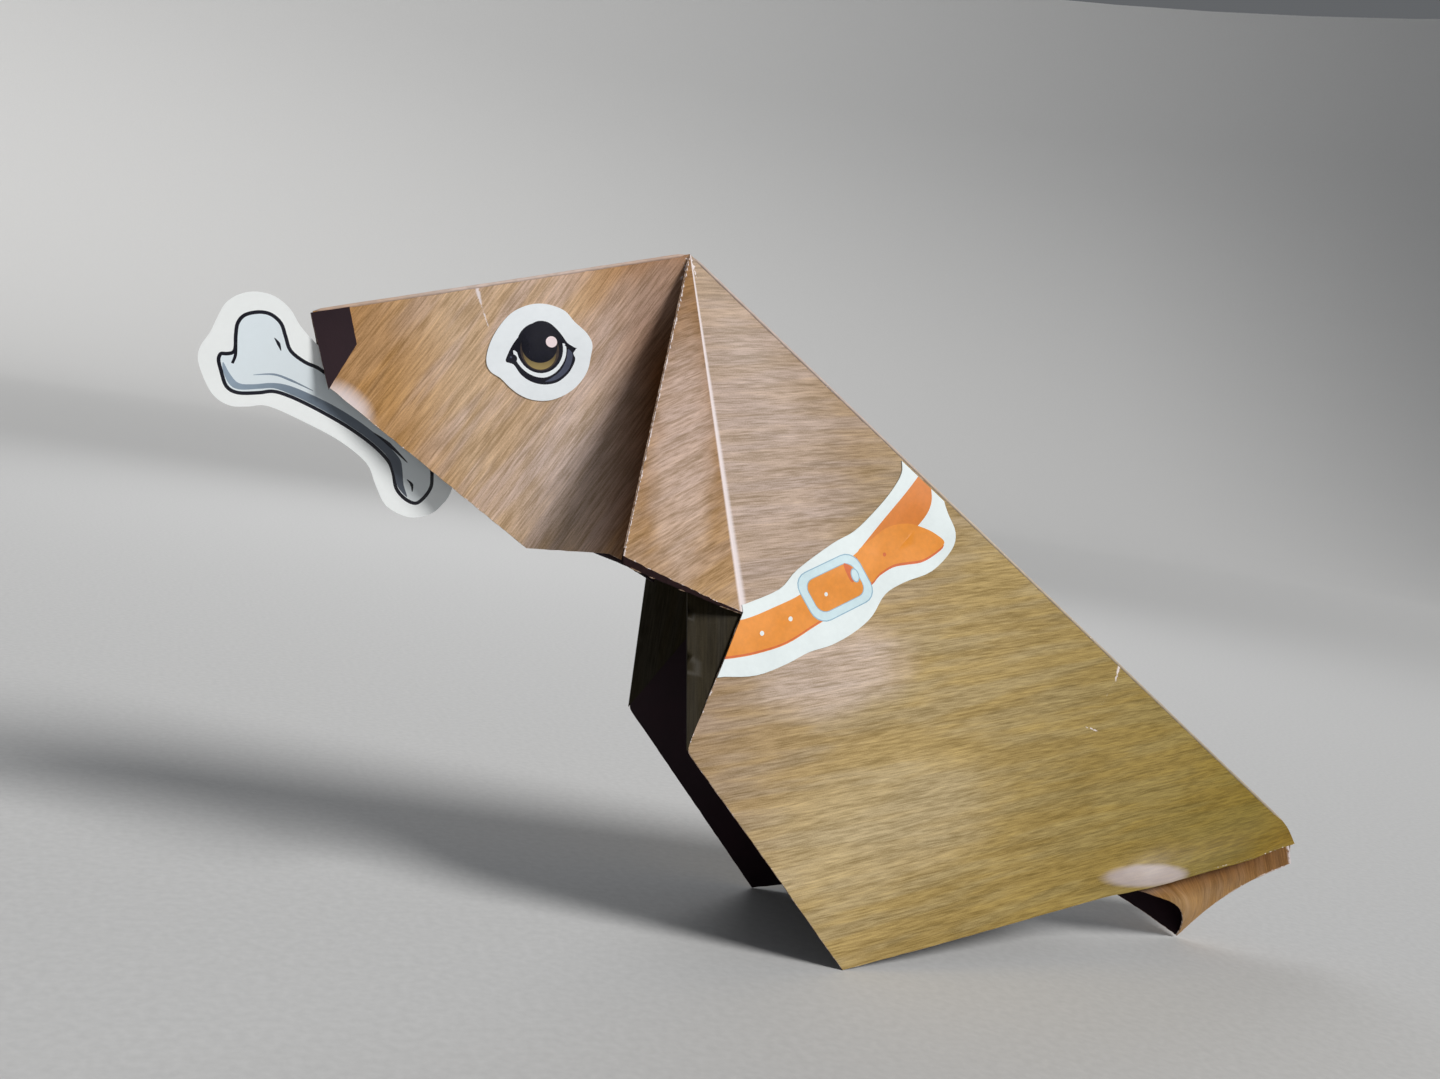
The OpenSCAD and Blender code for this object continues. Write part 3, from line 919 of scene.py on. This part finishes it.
def eye_label(side, seed):
    outline = closed_curve([
        (27.2, 8.6), (26.4, 6.8), (25.0, 5.1), (23.2, 3.7), (21.3, 3.1), (19.6, 3.1),
        (18.1, 3.6), (16.8, 4.5), (16.0, 5.9), (14.9, 7.4), (14.5, 8.8), (15.0, 10.2),
        (15.7, 11.7), (16.8, 12.9), (18.2, 13.8), (19.8, 14.3), (21.3, 14.4), (22.9, 14.0),
        (24.2, 13.2), (25.2, 12.1), (26.0, 10.9), (27.0, 9.9)])
    slant = math.radians(-8)
    white, ink, lid, iris, gold, shine = range(6)
    art = [
        (ink, closed_curve([
            (25.0, 9.1), (24.6, 8.3), (23.7, 7.2), (22.5, 6.2), (21.1, 5.3), (20.0, 5.1),
            (18.9, 5.6), (18.0, 6.9), (17.4, 8.2), (16.6, 9.0), (17.0, 9.5), (16.9, 10.2),
            (17.4, 11.0), (18.2, 11.8), (19.6, 12.5), (21.2, 12.5), (22.6, 11.9), (23.6, 10.9),
            (24.2, 9.6)])),
        (lid, closed_curve([
            (17.5, 8.9), (17.1, 9.6), (17.6, 10.8), (18.4, 11.6), (19.7, 12.2), (21.0, 12.2),
            (20.2, 11.9), (19.0, 11.3), (18.1, 10.3), (17.7, 9.4)])),
        (white, closed_curve([
            (23.9, 8.0), (23.8, 9.2), (23.1, 10.5), (22.0, 11.4), (20.7, 11.7), (19.3, 11.2),
            (18.2, 10.1), (17.7, 8.9), (17.8, 8.2), (18.6, 8.4), (19.8, 10.2), (21.2, 10.6),
            (22.9, 9.6), (23.4, 8.4)])),
        (ink, disc((20.75, 8.2), 2.74, 2.98, slant)),
        (iris, disc((20.82, 8.45), 2.28, 2.42, slant)),
        (gold, disc((20.9, 8.75), 1.95, 2.0, slant)),
        (ink, disc((20.74, 7.9), 2.12, 2.08, slant)),
        (ink, disc((24.25, 8.9), 0.62, 0.55)),
        (lid, disc((24.3, 8.7), 0.12)),
        (ink, stroke([(17.7, 8.3), (17.1, 8.8), (16.45, 9.0)], [0.35, 0.3, 0.05])),
        (shine, disc((19.25, 7.75), 0.66))]
    gold_stops = [(0.0, (58, 48, 40)), (0.5, (112, 96, 60)), (0.9, (158, 138, 86))]
    inks = [print_ink(f"{side}_eye_white", (242, 248, 253), 0.02),
            print_ink(f"{side}_eye_ink", INK, 0.2, 0.28),
            print_ink(f"{side}_eye_lid", (70, 76, 98), 0.12),
            print_ink(f"{side}_eye_iris", (66, 52, 44), 0.2),
            shaded_ink(f"{side}_eye_gold", gold_stops, (20.6, 8.0), (21.2, 10.8)),
            print_ink(f"{side}_eye_shine", (250, 232, 236), 0.02)]
    label(side, "eye", "cheek", cheek_place, art_sheet(outline, 1.5, seed, art), inks)


def collar_label(side, seed):
    """The strap, and on the left side its buckle and loose end."""
    white, orange, deep, metal, outline_blue, far = range(6)
    strap_top = [
        (28.5, 34.5), (31.6, 31.7), (34.4, 27.6), (36.4, 24.2), (38.3, 19.4), (40.2, 14.6),
        (40.9, 9.8), (41.8, 3.6), (42.2, -1.0)]
    strap_low = [
        (43.4, -1.0), (44.7, 0.5), (45.7, 1.8), (46.1, 3.6), (45.8, 6.4), (44.9, 12.0),
        (43.6, 18.0), (42.2, 22.4), (40.3, 26.4), (38.2, 30.6), (35.4, 34.1), (33.0, 36.5),
        (30.8, 38.4)]
    if side == "left":
        edge = [
            (29.0, 32.5), (30.6, 30.2), (33.5, 25.7), (34.2, 22.1), (36.5, 16.2), (38.3, 12.7),
            (39.4, 8.4), (39.9, 4.8), (39.8, 1.9), (38.7, 0.3), (36.6, -2.0), (45.2, -2.0),
            (47.0, 0.2), (48.7, 1.4), (51.2, 2.7), (52.1, 5.0), (51.2, 9.2), (48.4, 13.2),
            (46.8, 16.4), (46.7, 20.0), (45.6, 23.3), (43.7, 26.7), (41.5, 29.4), (39.6, 32.6),
            (36.9, 36.2), (33.4, 38.9), (30.0, 41.0)]
    else:
        edge = [
            (29.0, 32.5), (30.6, 30.2), (33.6, 25.7), (36.0, 19.8), (38.3, 12.7), (39.8, 4.8),
            (38.7, 0.3), (36.6, -2.0), (45.2, -2.0), (47.2, 0.2), (48.6, 3.4), (48.6, 8.0),
            (47.4, 13.2), (45.6, 20.2), (42.9, 26.7), (39.6, 32.6), (36.9, 36.2), (33.4, 38.9),
            (30.0, 41.0)]
    art = [(orange, open_curve(strap_top) + open_curve(strap_low)),
           (deep, stroke([(x - 0.16, y - 0.1) for x, y in strap_low[2:]],
                         [0.08] * 4 + [0.16, 0.2, 0.2, 0.22, 0.26, 0.28, 0.3]))]
    art += [(white, disc(at, 0.30)) for at in ((34.6, 31.6), (36.9, 27.7), (39.4, 22.4))]
    if side == "left":
        loose_end = closed_curve([
            (40.3, 15.0), (41.2, 11.4), (42.3, 8.8), (44.4, 6.6), (46.6, 5.5), (48.6, 4.9),
            (50.6, 4.9), (50.1, 7.0), (49.0, 9.0), (47.3, 10.7), (45.7, 12.4), (44.6, 14.6),
            (43.9, 16.6)])
        art += [(far, open_curve(strap_top[5:]) + open_curve(strap_low[:6])),
                (deep, [(x + 0.15, y + 0.35) for x, y in loose_end]),
                (orange, loose_end),
                (deep, disc((43.8, 12.2), 0.27)),
                (outline_blue, buckle_frame(0.62)),
                (metal, buckle_frame(0.48)),
                (outline_blue, buckle_frame(-0.52)),
                (orange, buckle_frame(-0.62)),
                (deep, closed_curve([(39.3, 17.2), (40.4, 16.8), (41.7, 17.3), (41.8, 18.3),
                                     (40.6, 18.0)])),
                (outline_blue, disc((41.6, 17.3), 0.95, 0.62, 0.5)),
                (metal, disc((41.6, 17.3), 0.80, 0.48, 0.5)),
                (white, disc((39.4, 22.0), 0.26))]
    inks = [print_ink(f"{side}_collar_{name}", tint, spread) for name, tint, spread in (
        ("white", (231, 241, 243), 0.02), ("orange", (235, 146, 44), 0.06),
        ("deep", (218, 106, 48), 0.08), ("metal", (208, 232, 240), 0.04),
        ("outline", (146, 184, 206), 0.06), ("far", (224, 130, 44), 0.06))]
    clip = [(0.02, 0.5), NOTCH, CHEST, FOOT, (126.0, 0.5)]
    sheet = art_sheet(closed_curve(edge), 1.5, seed, art, clip)
    label(side, "collar", "flank", flank_place, sheet, inks)


def buckle_frame(grow):
    """The buckle's rounded rectangle, grown or shrunk."""
    centre = (40.1, 20.4)
    along = unit2((37.6, 24.2), (42.2, 16.6))
    across = unit2((36.4, 18.9), (43.9, 21.7))
    length, width, corner = 4.5 + grow, 2.95 + grow, 1.75 + grow * 0.6
    loop = []
    for sx, sy, start in ((1, 1, 0), (-1, 1, 1), (-1, -1, 2), (1, -1, 3)):
        for i in range(6):
            a = (start + i / 5) * math.pi / 2
            x = sx * (length - corner) + corner * math.cos(a)
            y = sy * (width - corner) + corner * math.sin(a)
            loop.append((centre[0] + along[0] * x + across[0] * y,
                         centre[1] + along[1] * x + across[1] * y))
    return loop


def bone_card(seed):
    """The card in the mouth: a drawn bone with grey shading inside a white border."""
    outline = closed_curve([
        (57.9, 3.3), (57.3, 1.8), (56.1, 0.6), (55.0, -0.9), (53.8, -2.3), (52.2, -3.0),
        (50.4, -3.0), (48.6, -2.2), (47.3, -0.6), (46.6, 1.4), (45.2, 3.7), (42.6, 7.0),
        (38.6, 12.4), (35.6, 16.4), (34.2, 18.4), (33.3, 20.2), (33.7, 22.4), (34.9, 23.8),
        (36.8, 24.8), (39.2, 24.6), (41.4, 22.8), (42.1, 20.2), (42.6, 17.6), (45.0, 14.6),
        (48.5, 11.7), (51.8, 9.4), (53.8, 9.1), (55.6, 8.7), (56.9, 7.6), (57.6, 5.9)])
    white, ink, grey, light = range(4)
    bone = closed_curve([
        (54.1, 2.7), (53.7, 1.2), (53.2, -0.1), (52.2, -0.9), (50.6, -1.0), (49.3, -0.5),
        (48.4, 0.7), (48.2, 2.3), (48.0, 3.8), (46.8, 5.2), (45.0, 6.6), (41.2, 11.4),
        (38.2, 15.4), (36.3, 17.6), (35.4, 19.4), (35.5, 20.8), (35.9, 21.9), (36.9, 22.9),
        (38.1, 23.4), (39.3, 22.6), (40.1, 21.1), (40.1, 19.2), (40.4, 17.8), (41.7, 15.8),
        (43.7, 13.6), (45.8, 11.7), (47.9, 10.0), (49.6, 8.8), (51.0, 8.1), (52.5, 8.0),
        (54.7, 7.6), (55.8, 6.6), (56.0, 4.8), (56.0, 3.5), (55.5, 2.8), (54.7, 2.9)])
    face = shrink(bone, 0.40)
    shade = closed_curve([
        (55.4, 3.9), (55.6, 4.8), (55.3, 6.3), (54.4, 7.1), (52.3, 7.4), (50.8, 7.6),
        (49.4, 8.4), (47.7, 9.6), (45.5, 11.4), (43.4, 13.3), (41.4, 15.5), (40.1, 17.5),
        (39.8, 19.2), (39.7, 20.9), (38.9, 22.3), (39.0, 20.8), (38.8, 19.0), (38.9, 17.7),
        (40.3, 15.4), (42.2, 13.1), (44.5, 10.9), (46.8, 9.1), (49.1, 7.6), (50.8, 7.0),
        (52.8, 6.8), (54.3, 6.4), (55.0, 5.2)])
    art = [(ink, bone), (light, face), (grey, shade),
           (ink, stroke([(53.7, 2.2), (54.0, 3.4), (54.5, 4.2)], [0.34, 0.34, 0.30])),
           (ink, stroke([(49.6, 2.2), (49.3, 2.9), (49.2, 3.7)], [0.06, 0.38, 0.06])),
           (grey, stroke([(52.6, 5.8), (50.5, 6.1), (48.9, 7.0), (46.7, 8.6)],
                         [0.05, 0.22, 0.26, 0.05])),
           (ink, stroke([(41.2, 14.3), (39.7, 16.0), (38.1, 18.4)], [0.05, 0.42, 0.10])),
           (ink, stroke([(38.5, 20.3), (38.1, 21.0), (38.2, 21.8)], [0.06, 0.36, 0.08]))]
    inks = [print_ink("bone_white", (247, 251, 252), 0.01),
            print_ink("bone_ink", INK, 0.2, 0.3),
            shaded_ink("bone_grey", [(0.0, (150, 168, 186)), (0.45, (104, 116, 130)),
                                     (1.0, (86, 94, 106))], (55.0, 6.0), (39.5, 19.0)),
            shaded_ink("bone_face", [(0.0, (232, 243, 250)), (0.55, (220, 229, 234)),
                                     (1.0, (224, 231, 234))], (54.0, 2.0), (38.0, 21.0))]
    obj = shell("bone_card", "left", head_middle.at, art_sheet(outline, 1.6, seed, art), CARD, inks,
                inks[0], inks[0], both_sides=True)
    finish_piece(obj, "bone", "bone")


def shrink(loop, by):
    """The loop moved inwards by a small distance."""
    area = sum(a[0] * b[1] - b[0] * a[1] for a, b in zip(loop, loop[1:] + loop[:1]))
    sign = 1 if area > 0 else -1
    moved = []
    for i, p in enumerate(loop):
        d = unit2(loop[i - 1], loop[(i + 1) % len(loop)])
        moved.append((p[0] - sign * d[1] * by, p[1] + sign * d[0] * by))
    return moved


# ---- floor, light and camera


def floor():
    """A wide pale floor that sweeps up into a low wall far away, all round."""
    flat, sweep, wall_top, around = 3.0, 1.2, 1.6, 96
    profile = [(0.3, 0.0), (1.0, 0.0), (flat, 0.0)]
    for i in range(1, 13):
        a = math.pi / 2 * i / 12
        profile.append((flat + sweep * math.sin(a), sweep * (1 - math.cos(a))))
    profile.append((flat + sweep, wall_top))
    verts, faces = [(0, 0, 0)], []
    for radius, height in profile:
        for k in range(around):
            a = math.tau * k / around
            verts.append((radius * math.cos(a), radius * math.sin(a), height))
    for k in range(around):
        n = (k + 1) % around
        faces.append((0, 1 + k, 1 + n))
        for i in range(len(profile) - 1):
            low, high = 1 + i * around, 1 + (i + 1) * around
            faces.append((low + k, high + k, high + n, low + n))
    mesh = bpy.data.meshes.new("floor")
    mesh.from_pydata(verts, [], faces)
    mesh.polygons.foreach_set("use_smooth", np.ones(len(faces), bool))
    shader = Shader("pale_floor", roughness=0.85, specular=0.15)
    where = shader.node("ShaderNodeNewGeometry").outputs["Position"]
    grain = shader.noise(900.0, 3.0, place=where)
    tint = shader.ramp(grain, [(0.3, (0.56, 0.565, 0.57, 1)), (0.7, (0.61, 0.615, 0.62, 1))])
    shader.set(shader.surface, "Base Color", tint)
    mesh.materials.append(shader.material)
    new_object("floor", mesh)


def light(name, kind, at, aim, power, tint=(1, 1, 1), **shape):
    data = bpy.data.lights.new(name, kind)
    data.energy = power
    data.color = tint
    for key, value in shape.items():
        setattr(data, key, value)
    obj = new_object(name, data)
    obj.location = at
    obj.rotation_euler = (Vector(aim) - Vector(at)).to_track_quat("-Z", "Y").to_euler()


def studio():
    world = bpy.data.worlds.new("studio")
    bpy.context.scene.world = world
    world.use_nodes = True
    background = world.node_tree.nodes["Background"]
    background.inputs["Color"].default_value = (0.88, 0.92, 0.97, 1)
    background.inputs["Strength"].default_value = 0.14
    light("key", "SUN", (0.50, -0.62, 0.60), (0, 0, 0), 2.9, (1.0, 0.98, 0.95),
          angle=math.radians(20))
    light("back", "AREA", (0.1, 0.6, 0.5), (0, 0, 0.04), 1.2, shape="DISK", size=0.5)
    bpy.context.scene.view_settings.view_transform = "Standard"


def camera():
    """A hand-held view from the dog's left and front, a little tilted."""
    eye = NECK + Vector((-53.9, -162.8, -24.3)) * MM
    forward = Vector((0.36379, 0.92988, -0.05465))
    tilt = math.radians(9.09)
    data = bpy.data.cameras.new("camera")
    data.sensor_width = 36.0
    data.lens = 34.92
    data.clip_start = 0.01
    obj = new_object("camera", data)
    level = forward.to_track_quat("-Z", "Y").to_matrix().to_4x4()
    obj.matrix_world = Matrix.Translation(eye) @ level @ Matrix.Rotation(tilt, 4, "Z")
    bpy.context.scene.camera = obj


# ---- putting it together

for number, side in enumerate(SIDES):
    seed = 1 + number * 17
    flank_panel(side, seed)
    neck_flap(side, seed + 1)
    ear_panel(side, seed + 2)
    ear_pleat_panel(side, seed + 3)
    cheek_panel(side, seed + 4)
    nose_tip(side, seed + 5)
    tail_flap_panel(side, seed + 6)
    eye_label(side, seed + 7)
    collar_label(side, seed + 8)
bone_card(5)

gap = 0.5 * MM
for name, start, end, print_seed, tones, white, seed, shape in (
        ("back", NECK + BACK_DIR * gap, flank.at((TAIL_HIGH[0] - 0.6, 0)), 2.0, FLANK_TONES, 0.35, 31,
         {}),
        ("head", NECK + HEAD_DIR * gap, cheek.at(NOSE_TOP), 6.0, CHEEK_TONES, 0.3, 33, {}),
        ("tail", TAIL, tail_tip, 11.0, TAIL_TONES, 0.7, 35, {"sag": tail_fold_path, "taper": 0.4})):
    crease_print = fold_print(f"{name}_fold_print", print_seed, tones, white)
    roll = fold_roll(f"{name}_fold", start, end, crease_print, seed, **shape)
    finish_piece(roll, f"{name}_crease", f"{name}_crease")

floor()
studio()
camera()
